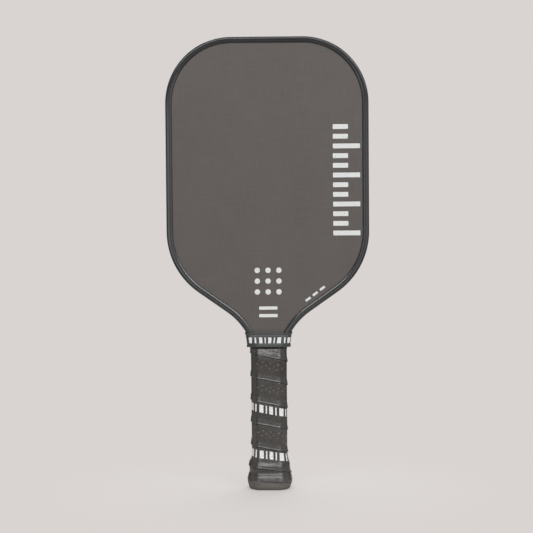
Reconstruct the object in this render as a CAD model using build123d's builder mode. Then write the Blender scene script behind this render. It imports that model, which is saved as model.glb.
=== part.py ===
"""Pickleball paddle: a honeycomb-cored carbon panel with an edge guard and a wrapped handle.

Frame: +Z runs from the butt to the tip, +X is to the right when the front face is seen, and the front
face looks towards -Y. The origin is the centre of the flat foot of the butt cap. Millimetres throughout.
"""

import os
from math import acos, asin, atan2, ceil, cos, degrees, radians, sin, sqrt

from build123d import *

# ------------------------------------------------- blade outline, measured outside the edge guard
overall_length = 419.1
overall_width = 187.2
tip_corner_radius = 61.0
shoulder_height = 240.1  # where the straight side gives way to the shoulder arc
shoulder_radius = 69.0
flare_angle = 54.9  # turn of the shoulder arc before the slanted straight, degrees
throat_radius = 62.3
neck_width = 24.2  # between the circles of the two throat arcs, where they come closest

# ------------------------------------------------- sandwich panel
core_thickness = 16.0
skin_thickness = 0.6
tongue_width = 22.0  # the part of the panel that runs down inside the handle
neck_rise = 21.2  # from the middle of the throat arc up to the panel's steps over the shells
cell_width = 19.0  # honeycomb cells, from the middle of one to the middle of the next
cell_wall = 0.9
rim_wall = 1.2  # core left between a cut cell and the panel's edge
smallest_cell_width = 3.9  # a cut cell smaller than a square of this side is left solid

# ------------------------------------------------- edge guard, a U-section strip
guard_wall = 1.6
guard_lip_reach = 6.0  # from the outside of the strip to the free edge of its lips
guard_lip_thickness = 1.4
guard_lip_bevel = 1.0
guard_bend_radius = 2.2
guard_bond = 0.15  # glue line between the strip and the panel's edge
guard_tuck = 6.0  # length of each guard end inside the collar

# ------------------------------------------------- handle shells, moulded halves around the tongue
handle_width = 29.3
handle_depth = 24.3
handle_bevel = 4.6  # corner cut that makes the section eight-sided
handle_corner_radius = 3.0
shell_fit = 0.1  # clearance to the tongue, the cap's socket and the wrap
shell_top_gap = 0.3
pocket_rows = 9
pocket_rib = 2.2
pocket_floor = 1.5
ramp_gap = 0.4  # beside the guard's lips
ramp_tip_thickness = 1.3
ramp_tip_gap = 1.0  # below the collar's mouth

# ------------------------------------------------- butt cap
cap_floor = 4.0
cap_foot_growth = 3.95  # the foot's edge, outside the handle section
cap_foot_radius = 3.5
cap_rim_height = 8.6
cap_skirt_top = 27.0
cap_recess_inset = 6.0
cap_recess_depth = 0.6
butt_flare = 4.05  # growth of the handle at the cap, under the wrap
butt_flare_start = 6.0
butt_flare_end = 36.0
flare_step = 7.0  # greatest height between two sections of the flare

# ------------------------------------------------- staples that hold the cap to the shells
staple_height = 20.0
staple_wire = 0.9
staple_crown = 8.0
staple_leg = 4.2
staple_cover = 0.15  # depth of the crown below the skirt's surface
staple_fit = 0.05

# ------------------------------------------------- wrap, finishing tape and collar
wrap_thickness = 2.1
wrap_lap = 0.85  # extra thickness where the last turn laps over the one below
wrap_lap_start = 14.0  # below the top of the wrap
wrap_lap_full = 9.0
wrap_seat = 0.1  # above the cap's rim
tape_thickness = 0.25
tape_width = 2.4
collar_overlap = 2.86  # length of the collar over the wrap
collar_height = 13.4
collar_fit = 0.1
collar_foot_wall = 1.95
collar_mouth_wall = 0.95
collar_mouth_bevel = 2.4
collar_bead = 0.45
collar_bead_height = 1.5
mouth_opening_bevel = 1.2

# ------------------------------------------------- values that follow from those above
panel_inset = guard_wall + guard_bond
panel_thickness = core_thickness + 2 * skin_thickness
guard_thickness = panel_thickness + 2 * guard_lip_thickness
shoulder_centre = (overall_width / 2 - shoulder_radius, shoulder_height)
arc_reach = shoulder_radius + throat_radius
flare_across = sin(radians(flare_angle))  # sideways share of each step along the slanted straight
flare_down = cos(radians(flare_angle))
throat_side = neck_width / 2 + throat_radius  # sideways place of the throat arc's centre
# the slanted straight takes up whatever width the arcs leave
flare_length = (shoulder_centre[0] + arc_reach * flare_down - throat_side) / flare_across
throat_centre = (throat_side, shoulder_height - arc_reach * flare_across - flare_length * flare_down)


def throat_half_width(inset, height):
    """Half width of the outline, inset from the guard, at a height on the throat arc."""
    radius = throat_radius + inset
    return throat_centre[0] - radius * cos(asin((height - throat_centre[1]) / radius))


def smooth_step(share):
    """Rise smoothly from 0 at a share of 0 to 1 at a share of 1."""
    share = min(max(share, 0.0), 1.0)
    return share * share * (3 - 2 * share)


def butt_growth(height):
    """How far the cap's skirt, and what replaces it above, stands outside the handle section."""
    climb = (height - butt_flare_start) / (butt_flare_end - butt_flare_start)
    return butt_flare * (1 - smooth_step(climb))


tongue_top = throat_centre[1] + neck_rise
handle_top = tongue_top - shell_top_gap
shell_foot = cap_floor + shell_fit
shell_face = panel_thickness / 2 + shell_fit  # inner face of a shell, from the middle of the panel
collar_foot = handle_top - collar_overlap
collar_top = collar_foot + collar_height
collar_seat_top = handle_top + shell_top_gap
guard_end = collar_top - guard_tuck
guard_end_slope = asin((guard_end - throat_centre[1]) / throat_radius)  # the strip's ends are cut square
ramp_half_width = throat_centre[0] - (throat_radius + guard_lip_reach) * cos(guard_end_slope) - ramp_gap
ramp_top = collar_top - ramp_tip_gap
wrap_foot = cap_rim_height + wrap_seat
wrap_end_growth = wrap_thickness + wrap_lap
rim_growth = butt_growth(wrap_foot) + wrap_thickness
foot_slant = degrees(atan2(rim_growth - cap_foot_growth, cap_rim_height))


def section_heights(foot, top):
    """Evenly spaced heights of the flare's sections, from a foot to a top."""
    spans = ceil((top - foot) / flare_step)
    return [foot + (top - foot) * step / spans for step in range(spans + 1)]


# ------------------------------------------------- profiles
def blade_curve(inset, neck_half_width):
    """Right half of the blade's edge, inset from the outside of the guard, from the tip to the neck."""
    half = overall_width / 2
    tip_centre = (half - tip_corner_radius, overall_length - tip_corner_radius)
    throat_end = degrees(acos((throat_centre[0] - neck_half_width) / (throat_radius + inset)))
    with BuildLine(mode=Mode.PRIVATE) as curve:
        Line((0, overall_length - inset), (tip_centre[0], overall_length - inset))
        tip = CenterArc(tip_centre, tip_corner_radius - inset, 90, -90)
        Line(tip @ 1, (half - inset, shoulder_height))
        shoulder = CenterArc(shoulder_centre, shoulder_radius - inset, 0, -flare_angle)
        throat_turn = flare_angle - throat_end
        throat = CenterArc(throat_centre, throat_radius + inset, 180 - flare_angle, throat_turn)
        Line(shoulder @ 1, throat @ 0)
    return curve.line


def blade_outline(inset, foot):
    """Blade and tongue outline, inset from the outside of the guard, with its foot at a height."""
    tongue_side = tongue_width / 2 + panel_inset - inset
    step_height = tongue_top + inset - panel_inset
    neck = throat_half_width(inset, step_height)
    with BuildSketch(mode=Mode.PRIVATE) as outline:
        with BuildLine():
            add(blade_curve(inset, neck))
            Polyline((neck, step_height), (tongue_side, step_height), (tongue_side, foot), (0, foot))
            mirror(about=Plane.YZ)
        make_face()
    return outline.sketch


def eight_sided(width, depth, bevel, corner_radius):
    """Rectangle with bevelled corners whose eight corners are softened."""
    with BuildSketch(mode=Mode.PRIVATE) as section:
        Rectangle(width, depth)
        chamfer(section.vertices(), length=bevel)
        fillet(section.vertices(), radius=corner_radius)
    return section.sketch


def handle_section(growth):
    """Section of the handle shells, grown outwards by an even amount."""
    return eight_sided(
        handle_width + 2 * growth,
        handle_depth + 2 * growth,
        handle_bevel + growth * (2 - sqrt(2)),
        handle_corner_radius + growth,
    )


def staples(clearance):
    """The pair of staples across the handle's sides, each grown by a clearance."""
    wire = staple_wire + 2 * clearance
    crown_centre = handle_width / 2 + butt_growth(staple_height) - staple_cover - staple_wire / 2
    leg_end = crown_centre - staple_leg - clearance
    with BuildPart(mode=Mode.PRIVATE) as pair:
        with Locations((crown_centre, 0, staple_height)):
            Box(wire, staple_crown + 2 * clearance, wire)
        with Locations(
            ((crown_centre + leg_end) / 2, staple_crown / 2 - staple_wire / 2, staple_height),
            ((crown_centre + leg_end) / 2, staple_wire / 2 - staple_crown / 2, staple_height),
        ):
            Box(crown_centre - leg_end, wire, wire)
        mirror(about=Plane.YZ)
    return pair.part


# ------------------------------------------------- honeycomb core, open cells between the two skins
cell_radius = (cell_width - cell_wall) / sqrt(3)
cell_columns = 2 * int(overall_width / (cell_width * sqrt(3)) + 1)
cell_rows = 2 * int(overall_length / (2 * cell_width) + 1)

with BuildSketch() as cells:
    with Locations((0, overall_length / 2)):
        with HexLocations(cell_width / 2, cell_columns, cell_rows):
            RegularPolygon(cell_radius, 6)
    add(blade_outline(panel_inset + rim_wall, shell_foot + rim_wall), mode=Mode.INTERSECT)

with BuildPart() as honeycomb_core:
    with BuildSketch(Plane.XZ.offset(-core_thickness / 2)):
        add(blade_outline(panel_inset, shell_foot))
        open_cells = [cell for cell in cells.faces() if cell.area > smallest_cell_width**2]
        add(open_cells, mode=Mode.SUBTRACT)
    extrude(amount=core_thickness)

# ------------------------------------------------- carbon skins bonded to the core
with BuildPart() as front_face_sheet:
    with BuildSketch(Plane.XZ.offset(core_thickness / 2)):
        add(blade_outline(panel_inset, shell_foot))
    extrude(amount=skin_thickness)

with BuildPart() as back_face_sheet:
    with BuildSketch(Plane.XZ.offset(-core_thickness / 2)):
        add(blade_outline(panel_inset, shell_foot))
    extrude(amount=-skin_thickness)

# ------------------------------------------------- edge guard, a strip bent round the blade into the collar
with BuildPart() as edge_guard:
    with BuildSketch(Plane.YZ) as strip:
        with Locations((0, overall_length - guard_lip_reach / 2)):
            Rectangle(guard_thickness, guard_lip_reach)
        fillet(strip.vertices().group_by(Axis.Y)[-1], radius=guard_bend_radius)
        chamfer(strip.vertices().group_by(Axis.Y)[0], length=guard_lip_bevel)
        with Locations((0, overall_length - guard_wall - guard_lip_reach / 2)):
            Rectangle(panel_thickness, guard_lip_reach, mode=Mode.SUBTRACT)
    sweep(path=Plane.XZ * blade_curve(0, throat_half_width(0, guard_end)))
    mirror(about=Plane.YZ)

# ------------------------------------------------- handle shells: pocketed halves with a ramp onto the blade
pocket_pitch = (handle_top - shell_foot - pocket_rib) / pocket_rows
pocket_width = (tongue_width - 3 * pocket_rib) / 2

with BuildPart() as handle_shell_front:
    with BuildSketch(Plane.XY.offset(shell_foot)):
        add(handle_section(0))
        Rectangle(tongue_width + 2 * shell_fit, 2 * shell_face, mode=Mode.SUBTRACT)
    extrude(amount=handle_top - shell_foot)
    split(bisect_by=Plane.XZ, keep=Keep.TOP)
    with BuildSketch(Plane.YZ):
        with BuildLine():
            Polyline(
                (-shell_face, handle_top),
                (-handle_depth / 2, handle_top),
                (-shell_face - ramp_tip_thickness, ramp_top),
                (-shell_face, ramp_top),
                close=True,
            )
        make_face()
    extrude(amount=ramp_half_width, both=True)
    with BuildSketch(Plane.XZ.offset(shell_face)):
        with Locations((0, (shell_foot + handle_top) / 2)):
            with GridLocations(pocket_width + pocket_rib, pocket_pitch, 2, pocket_rows):
                Rectangle(pocket_width, pocket_pitch - pocket_rib)
    extrude(amount=handle_depth / 2 - shell_face - pocket_floor, mode=Mode.SUBTRACT)
    add(staples(staple_fit), mode=Mode.SUBTRACT)

with BuildPart() as handle_shell_back:
    add(handle_shell_front.part)
    mirror(about=Plane.XZ, mode=Mode.REPLACE)

# ------------------------------------------------- butt cap: rounded foot, flared skirt and a socket
with BuildPart() as butt_cap:
    with BuildSketch():
        add(handle_section(cap_foot_growth))
    extrude(amount=cap_rim_height, taper=-foot_slant)
    fillet(butt_cap.faces().sort_by(Axis.Z)[0].edges(), radius=cap_foot_radius)
    for height in section_heights(cap_rim_height, cap_skirt_top):
        with BuildSketch(Plane.XY.offset(height)):
            add(handle_section(butt_growth(height)))
    loft()
    with BuildSketch(Plane.XY.offset(cap_floor)):
        add(handle_section(shell_fit))
    extrude(amount=cap_skirt_top - cap_floor, mode=Mode.SUBTRACT)
    with BuildSketch():
        add(handle_section(cap_foot_growth - cap_recess_inset))
    extrude(amount=cap_recess_depth, mode=Mode.SUBTRACT)
    add(staples(staple_fit), mode=Mode.SUBTRACT)

with BuildPart() as butt_cap_staples:
    add(staples(0))


# ------------------------------------------------- wrap over the shells and the cap's skirt
def wrap_surface(growth, lap):
    """Closed solid inside the wrap's surface: flared at the butt, with a lapped last turn at the top."""
    with BuildPart(mode=Mode.PRIVATE) as body:
        for height in section_heights(wrap_foot, butt_flare_end):
            with BuildSketch(Plane.XY.offset(height)):
                add(handle_section(butt_growth(height) + growth))
        loft()
        with BuildSketch(Plane.XY.offset(butt_flare_end)):
            add(handle_section(growth))
        extrude(amount=handle_top - wrap_lap_start - butt_flare_end)
        for height, extra in ((wrap_lap_start, 0), (wrap_lap_full, lap)):
            with BuildSketch(Plane.XY.offset(handle_top - height)):
                add(handle_section(growth + extra))
        loft()
        with BuildSketch(Plane.XY.offset(handle_top - wrap_lap_full)):
            add(handle_section(growth + lap))
        extrude(amount=wrap_lap_full)
    return body.part


with BuildPart() as grip_wrap:
    add(wrap_surface(wrap_thickness, wrap_lap))
    add(wrap_surface(shell_fit, 0), mode=Mode.SUBTRACT)

with BuildPart() as finishing_tape:
    with BuildSketch(Plane.XY.offset(handle_top - tape_width)):
        add(handle_section(wrap_end_growth + tape_thickness))
        add(handle_section(wrap_end_growth), mode=Mode.SUBTRACT)
    extrude(amount=tape_width)

# ------------------------------------------------- rubber collar over the wrap's end and the guard's ends
collar_seat_growth = wrap_end_growth + tape_thickness + collar_fit
mouth_width = 2 * (throat_half_width(0, collar_top) + collar_fit)
mouth_depth = guard_thickness + 2 * collar_fit


def collar_mouth(growth):
    """Section of the collar's outside at its mouth."""
    width = mouth_width + 2 * (collar_mouth_wall + growth)
    depth = mouth_depth + 2 * (collar_mouth_wall + growth)
    return eight_sided(width, depth, collar_mouth_bevel, handle_corner_radius)


def collar_bore(growth):
    """Section of the collar where it lies over the wrap."""
    return handle_section(collar_seat_growth + growth)


with BuildPart() as rubber_collar:
    with BuildSketch(Plane.XY.offset(collar_foot)):
        add(collar_bore(collar_foot_wall))
    extrude(amount=collar_seat_top - collar_foot)
    with BuildSketch(Plane.XY.offset(collar_seat_top)):
        add(collar_bore(collar_foot_wall))
    with BuildSketch(Plane.XY.offset(collar_top)):
        add(collar_mouth(0))
    loft()
    with BuildSketch(Plane.XY.offset(collar_top - collar_bead_height)):
        add(collar_mouth(collar_bead))
    extrude(amount=collar_bead_height)
    with BuildSketch(Plane.XY.offset(collar_foot)):
        add(collar_bore(collar_foot_wall + collar_bead))
    extrude(amount=collar_bead_height)
    with BuildSketch(Plane.XY.offset(collar_foot)):
        add(collar_bore(0))
    extrude(amount=collar_seat_top - collar_foot, mode=Mode.SUBTRACT)
    with BuildSketch(Plane.XY.offset(collar_seat_top)):
        add(collar_bore(0))
    with BuildSketch(Plane.XY.offset(collar_top)):
        add(eight_sided(mouth_width, mouth_depth, mouth_opening_bevel, mouth_opening_bevel))
    loft(mode=Mode.SUBTRACT)

# ------------------------------------------------- one file for each piece
pieces = {
    "honeycomb_core": honeycomb_core,
    "front_face_sheet": front_face_sheet,
    "back_face_sheet": back_face_sheet,
    "edge_guard": edge_guard,
    "handle_shell_front": handle_shell_front,
    "handle_shell_back": handle_shell_back,
    "butt_cap": butt_cap,
    "butt_cap_staples": butt_cap_staples,
    "grip_wrap": grip_wrap,
    "finishing_tape": finishing_tape,
    "rubber_collar": rubber_collar,
}
os.makedirs("parts", exist_ok=True)
for name, piece in pieces.items():
    piece.part.label = name
    export_step(piece.part, f"parts/{name}.step")
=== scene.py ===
"""Finished look of a pickleball paddle, built round its construction model.

Lengths are in metres and angles in degrees. +Z runs from butt to tip, and -Y out of the front face.
"""

import logging
import math
from contextlib import contextmanager
from dataclasses import dataclass
from enum import Enum
from typing import Callable, Iterator, Sequence

import bpy
from mathutils import Matrix, Quaternion, Vector, noise


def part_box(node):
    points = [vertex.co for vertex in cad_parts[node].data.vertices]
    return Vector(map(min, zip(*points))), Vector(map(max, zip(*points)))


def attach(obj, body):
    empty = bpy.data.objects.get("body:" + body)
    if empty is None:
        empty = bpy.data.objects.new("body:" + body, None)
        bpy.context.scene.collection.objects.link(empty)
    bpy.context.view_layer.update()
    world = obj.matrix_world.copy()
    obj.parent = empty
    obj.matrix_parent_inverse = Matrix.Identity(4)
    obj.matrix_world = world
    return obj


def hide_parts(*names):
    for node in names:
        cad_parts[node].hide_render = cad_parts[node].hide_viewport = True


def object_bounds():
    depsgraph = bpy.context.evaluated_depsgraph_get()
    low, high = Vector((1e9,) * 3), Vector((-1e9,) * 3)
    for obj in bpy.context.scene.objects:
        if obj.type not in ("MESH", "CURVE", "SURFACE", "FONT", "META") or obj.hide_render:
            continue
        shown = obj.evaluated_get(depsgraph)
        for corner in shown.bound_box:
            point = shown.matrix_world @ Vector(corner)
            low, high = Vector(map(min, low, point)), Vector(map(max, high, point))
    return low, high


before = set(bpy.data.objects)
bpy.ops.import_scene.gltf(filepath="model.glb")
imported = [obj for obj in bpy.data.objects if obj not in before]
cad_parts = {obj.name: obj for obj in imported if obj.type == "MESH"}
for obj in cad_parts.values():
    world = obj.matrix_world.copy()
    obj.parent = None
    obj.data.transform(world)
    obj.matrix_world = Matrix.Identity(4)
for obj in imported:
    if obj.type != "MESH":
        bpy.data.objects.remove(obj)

logging.basicConfig(level=logging.INFO, format="%(message)s")
log = logging.getLogger("paddle")

MM = 0.001
BODY = "root"
CAD_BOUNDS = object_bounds()
MERGE = 0.002 * MM
PRINT_MERGE = 0.0005 * MM

Pair = tuple[float, float]
Triple = tuple[float, float, float]
Colour = tuple[float, float, float, float]
Place = Callable[[float, float], Vector]
Chart = Callable[[float, float], Pair]


# ---------------------------------------------------------------------------------------- small maths
def held(value: float, low: float = 0.0, high: float = 1.0) -> float:
    """Value held between a low and a high limit."""
    return min(max(value, low), high)


def smooth_step(share: float) -> float:
    """Rise smoothly from 0 at a share of 0 to 1 at a share of 1."""
    share = held(share)
    return share * share * (3 - 2 * share)


def between(start: float, end: float, share: float) -> float:
    """Value a share of the way from start to end."""
    return start + (end - start) * share


def bell(value: float, middle: float, spread: float) -> float:
    """Bell curve of height 1 about a middle value."""
    return math.exp(-(((value - middle) / spread) ** 2))


def bunch(share: float) -> float:
    """Share of a width, with equal steps drawn closer together near both its edges."""
    return 0.5 - 0.5 * math.cos(math.pi * share)


def display(red: int, green: int, blue: int) -> Colour:
    """Linear colour of an 8-bit display colour.

    Args:
        red: Red, 0 to 255.
        green: Green, 0 to 255.
        blue: Blue, 0 to 255.

    Returns:
        Linear red, green and blue, and an alpha of 1.
    """

    def linear(level: int) -> float:
        """Linear value of one display level, by the sRGB curve."""
        part = level / 255
        return part / 12.92 if part <= 0.04045 else ((part + 0.055) / 1.055) ** 2.4

    return linear(red), linear(green), linear(blue), 1.0


# ---------------------------------------------------------------------------------------- node trees
class NodeSheet:
    """A shader node tree while it is being put together."""

    def __init__(self, tree: bpy.types.NodeTree) -> None:
        """Take the tree that the nodes go into."""
        self.tree = tree

    def node(self, kind: str, **inputs: object) -> bpy.types.Node:
        """Add a node and set or link its inputs.

        Args:
            kind: Node type, without the ShaderNode prefix.
            **inputs: Values or output sockets, by input name with underscores for spaces.

        Returns:
            The new node.
        """
        made = self.tree.nodes.new("ShaderNode" + kind)
        for name, value in inputs.items():
            self.put(made.inputs[name.replace("_", " ")], value)
        return made

    def put(self, socket: bpy.types.NodeSocket, value: object) -> None:
        """Set a socket to a value, or link an output socket to it.

        Args:
            socket: Input socket.
            value: Value or output socket that it gets.
        """
        if isinstance(value, bpy.types.NodeSocket):
            self.tree.links.new(value, socket)
        else:
            socket.default_value = value

    def sums(self, operation: str, first: object, second: object = 0.0) -> bpy.types.NodeSocket:
        """Result of a math node.

        Args:
            operation: The node's operation.
            first: First value or socket.
            second: Second value or socket, where the operation takes one.

        Returns:
            The socket that holds the result.
        """
        made = self.node("Math")
        made.operation = operation
        self.put(made.inputs[0], first)
        self.put(made.inputs[1], second)
        return made.outputs[0]

    def plus(self, first: object, second: object) -> bpy.types.NodeSocket:
        """Sum of two values."""
        return self.sums("ADD", first, second)

    def minus(self, first: object, second: object) -> bpy.types.NodeSocket:
        """Difference of two values."""
        return self.sums("SUBTRACT", first, second)

    def times(self, first: object, second: object) -> bpy.types.NodeSocket:
        """Product of two values."""
        return self.sums("MULTIPLY", first, second)

    def size_of(self, value: object) -> bpy.types.NodeSocket:
        """Value without its sign."""
        return self.sums("ABSOLUTE", value)

    def ramp(
        self, value: object, low: float, high: float, start: float = 0.0, end: float = 1.0
    ) -> bpy.types.NodeSocket:
        """Value stretched so that low becomes start and high becomes end, and held there."""
        made = self.node("MapRange", Value=value, From_Min=low, From_Max=high, To_Min=start, To_Max=end)
        return made.outputs["Result"]

    def seen_by_camera(self) -> bpy.types.NodeSocket:
        """1 where the camera looks straight at the surface, and 0 where its light falls on others."""
        return self.node("LightPath").outputs["Is Camera Ray"]

    def mix_shaders(
        self, share: object, first: bpy.types.NodeSocket, second: bpy.types.NodeSocket, output: str
    ) -> None:
        """Mix two shaders and link them to the tree's output.

        Args:
            share: Share of the second shader.
            first: First shader.
            second: Second shader.
            output: Name of the output node.
        """
        mix = self.node("MixShader")
        for socket, value in zip(mix.inputs, (share, first, second)):
            self.put(socket, value)
        self.put(self.tree.nodes[output].inputs["Surface"], mix.outputs[0])


class Recipe(NodeSheet):
    """A material with a single principled surface, while it is being put together."""

    def __init__(self, name: str, roughness: float, specular: float = 0.5) -> None:
        """Start the material.

        Args:
            name: Name of the material.
            roughness: Roughness of the surface.
            specular: Specular level of the surface.
        """
        self.material = bpy.data.materials.new(name)
        self.material.use_nodes = True
        super().__init__(self.material.node_tree)
        self.surface = self.tree.nodes["Principled BSDF"]
        self.put(self.surface.inputs["Roughness"], roughness)
        self.put(self.surface.inputs["Specular IOR Level"], specular)

    def coordinates(self, scale: Sequence[float]) -> bpy.types.NodeSocket:
        """Object coordinates, scaled by an amount for each axis."""
        place = self.node("TexCoord").outputs["Object"]
        return self.node("Mapping", Vector=place, Scale=tuple(scale)).outputs["Vector"]

    def speckle(self, scale: Sequence[float], detail: float = 2.0) -> bpy.types.NodeSocket:
        """Noise from 0 to 1, with as many grains in a metre as its scale says for each axis."""
        made = self.node("TexNoise", Vector=self.coordinates(scale), Scale=1.0, Detail=detail)
        return made.outputs["Fac"]

    def blend(self, share: bpy.types.NodeSocket, first: object, second: object) -> bpy.types.NodeSocket:
        """Colour mixed from two.

        Args:
            share: Share of the second colour.
            first: First colour or socket.
            second: Second colour or socket.

        Returns:
            The socket that holds the colour.
        """
        made = self.node("Mix")
        made.data_type = "RGBA"
        self.put(made.inputs["Factor"], share)
        self.put(made.inputs["A"], first)
        self.put(made.inputs["B"], second)
        return made.outputs["Result"]

    def relief(
        self, height: bpy.types.NodeSocket, depth: float, under: bpy.types.NodeSocket | None = None
    ) -> bpy.types.NodeSocket:
        """Normals of a fine relief.

        Args:
            height: Height of the relief, from 0 to 1.
            depth: Depth in metres that a height of 1 stands for.
            under: Normals of a relief that lies under this one.

        Returns:
            The socket that holds the normals.
        """
        made = self.node("Bump", Height=height, Strength=1.0, Distance=depth)
        if under is not None:
            self.put(made.inputs["Normal"], under)
        return made.outputs["Normal"]

    def finish(
        self,
        colour: object,
        normal: bpy.types.NodeSocket | None = None,
        roughness: bpy.types.NodeSocket | None = None,
    ) -> bpy.types.Material:
        """Give the surface its colour, relief and roughness.

        Args:
            colour: Colour or socket.
            normal: Normals of the relief, if it has one.
            roughness: Roughness, where it differs from place to place.

        Returns:
            The finished material.
        """
        self.put(self.surface.inputs["Base Color"], colour)
        if normal is not None:
            self.put(self.surface.inputs["Normal"], normal)
        if roughness is not None:
            self.put(self.surface.inputs["Roughness"], roughness)
        return self.material


# ---------------------------------------------------------------------------------------- finishes
@dataclass(frozen=True)
class RawCarbon:
    """Matt carbon laminate with the print of a fine peel-ply weave.

    Scales and the run of a thread's streaks are in grains to the metre.
    """

    dark: Colour = display(89, 83, 79)
    light: Colour = display(97, 91, 87)
    thread: float = 0.75 * MM
    thread_run: float = 45.0
    cloud_scale: Triple = (22.0, 1.0, 16.0)
    cloud_share: float = 0.25
    grit_scale: Triple = (1800.0, 1.0, 1800.0)
    tone_range: Pair = (0.38, 0.62)
    relief_depth: float = 0.05 * MM

    def material(self) -> bpy.types.Material:
        """Laminate with streaks of warp and weft, a woven relief and a little grit.

        Returns:
            The material.
        """
        recipe = Recipe("raw_carbon", roughness=0.62, specular=0.3)
        warp = recipe.speckle((1 / self.thread, 1.0, self.thread_run))
        weft = recipe.speckle((self.thread_run, 1.0, 1 / self.thread))
        clouds = recipe.speckle(self.cloud_scale, detail=3.0)
        grit = recipe.speckle(self.grit_scale, detail=1.0)
        threads = recipe.times(recipe.plus(warp, weft), 0.5)
        woven = recipe.times(threads, 1 - self.cloud_share)
        tone = recipe.plus(woven, recipe.times(clouds, self.cloud_share))
        colour = recipe.blend(recipe.ramp(tone, *self.tone_range), self.dark, self.light)
        relief = recipe.relief(threads, self.relief_depth)
        return recipe.finish(colour, recipe.relief(grit, self.relief_depth / 2, relief))


@dataclass(frozen=True)
class Moulding:
    """Moulded plastic, rubber or plain metal: an even colour, fine grain and faint handling marks.

    The scale of the marks is in grains to the metre.
    """

    name: str
    dark: Colour
    light: Colour
    roughness: float
    specular: float = 0.5
    grain: float = 0.5 * MM
    relief_depth: float = 0.012 * MM
    mark_scale: float = 35.0
    mark_range: Pair = (0.3, 0.7)
    shine_change: float = 0.15

    def material(self) -> bpy.types.Material:
        """Even surface with a fine grain and a roughness that varies a little.

        Returns:
            The material.
        """
        recipe = Recipe(self.name, self.roughness, self.specular)
        fine = recipe.speckle((1 / self.grain,) * 3)
        marks = recipe.speckle((self.mark_scale,) * 3, detail=3.0)
        colour = recipe.blend(recipe.ramp(marks, *self.mark_range), self.dark, self.light)
        smoothest = self.roughness * (1 - self.shine_change)
        roughest = self.roughness * (1 + self.shine_change)
        shine = recipe.ramp(marks, *self.mark_range, smoothest, roughest)
        return recipe.finish(colour, recipe.relief(fine, self.relief_depth), shine)


@dataclass(frozen=True)
class GripLeather:
    """Tacky synthetic leather with pores, creases and groups of punched holes.

    The piece's UV map runs along the strip and across it, in metres. Scales are in grains to the metre.
    """

    dark: Colour = display(52, 49, 46)
    light: Colour = display(66, 62, 58)
    # Colour inside the holes: lighter than the leather, a painted glint.
    hole_colour: Colour = display(122, 117, 111)
    tone_scale: float = 60.0
    tone_range: Pair = (0.3, 0.7)
    shine_range: Pair = (0.23, 0.34)
    pore: float = 0.8 * MM
    pore_depth: float = 0.02 * MM
    fold_scale: Triple = (140.0, 140.0, 420.0)
    fold_depth: float = 0.16 * MM

    # How the strip is wound: its length in a turn, where it starts, and the turns that are printed.
    turn_length: float = 100.0 * MM
    start_turn: float = -0.60
    printed_turns: tuple[int, ...] = (1, 3)

    # Groups of holes, from the first punched turn on. The middle row is set in by a share of the pitch.
    first_turn: float = 1.25
    group_reach: float = 13.0 * MM
    pitch: float = 7.5 * MM
    row_gap: float = 2.5 * MM
    rows_each_side: int = 1
    middle_row: float = 13.9 * MM
    set_in: float = 0.35
    lean: float = 0.22
    hole_radius: float = 0.55 * MM
    hole_depth: float = 0.3 * MM
    # Where a hole's edge starts and ends, in radii.
    hole_edge: Pair = (1.3, 0.6)

    def holes(self, recipe: Recipe) -> bpy.types.NodeSocket:
        """Punched holes: staggered rows, in a group at the front and one at the back of each turn.

        Args:
            recipe: The leather's node tree.

        Returns:
            The socket that holds 1 inside a hole and 0 between the holes.
        """
        chart = recipe.node("SeparateXYZ", Vector=recipe.node("TexCoord").outputs["UV"])
        turns = recipe.plus(recipe.sums("DIVIDE", chart.outputs["X"], self.turn_length), self.start_turn)
        halves = recipe.times(turns, 2.0)
        half = recipe.sums("ROUND", halves)
        over = recipe.minus(chart.outputs["Y"], self.middle_row)
        along = recipe.times(recipe.minus(halves, half), self.turn_length / 2)
        along = recipe.plus(along, recipe.times(over, self.lean))
        rows = recipe.sums("DIVIDE", over, self.row_gap)
        row = recipe.sums("ROUND", rows)
        stagger = recipe.times(recipe.size_of(row), 0.5)
        places = recipe.sums("DIVIDE", recipe.minus(along, self.set_in * self.pitch), self.pitch)
        aside = recipe.times(recipe.sums("PINGPONG", recipe.plus(places, stagger), 0.5), self.pitch)
        above = recipe.times(recipe.minus(rows, row), self.row_gap)
        distance = recipe.sums("SQRT", recipe.plus(recipe.times(aside, aside), recipe.times(above, above)))
        outer, inner = self.hole_edge
        hole = recipe.ramp(distance, self.hole_radius * outer, self.hole_radius * inner)
        limits = [
            ("LESS_THAN", recipe.size_of(rows), self.rows_each_side + 0.5),
            ("LESS_THAN", recipe.size_of(along), self.group_reach),
            ("GREATER_THAN", halves, 2.0 * self.first_turn),
        ]
        for turn in self.printed_turns:
            limits.append(("GREATER_THAN", recipe.size_of(recipe.minus(half, 2.0 * turn)), 0.5))
        for limit in limits:
            hole = recipe.times(hole, recipe.sums(*limit))
        return hole

    def material(self) -> bpy.types.Material:
        """Leather with pores, creases and the holes, each hole painted lighter as a glint.

        Returns:
            The material.
        """
        recipe = Recipe("grip_leather", roughness=0.3, specular=0.7)
        pores = recipe.node("TexVoronoi", Vector=recipe.coordinates((1 / self.pore,) * 3), Scale=1.0)
        folds = recipe.speckle(self.fold_scale, detail=4.0)
        tones = recipe.speckle((self.tone_scale,) * 3, detail=3.0)
        holes = self.holes(recipe)
        normal = recipe.relief(pores.outputs["Distance"], self.pore_depth)
        normal = recipe.relief(folds, self.fold_depth, normal)
        normal = recipe.relief(recipe.times(holes, -1.0), self.hole_depth, normal)
        colour = recipe.blend(recipe.ramp(tones, *self.tone_range), self.dark, self.light)
        # The holes are painted lighter than the leather: a painted glint in each.
        colour = recipe.blend(holes, colour, self.hole_colour)
        return recipe.finish(colour, normal, recipe.ramp(folds, *self.tone_range, *self.shine_range))


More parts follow.
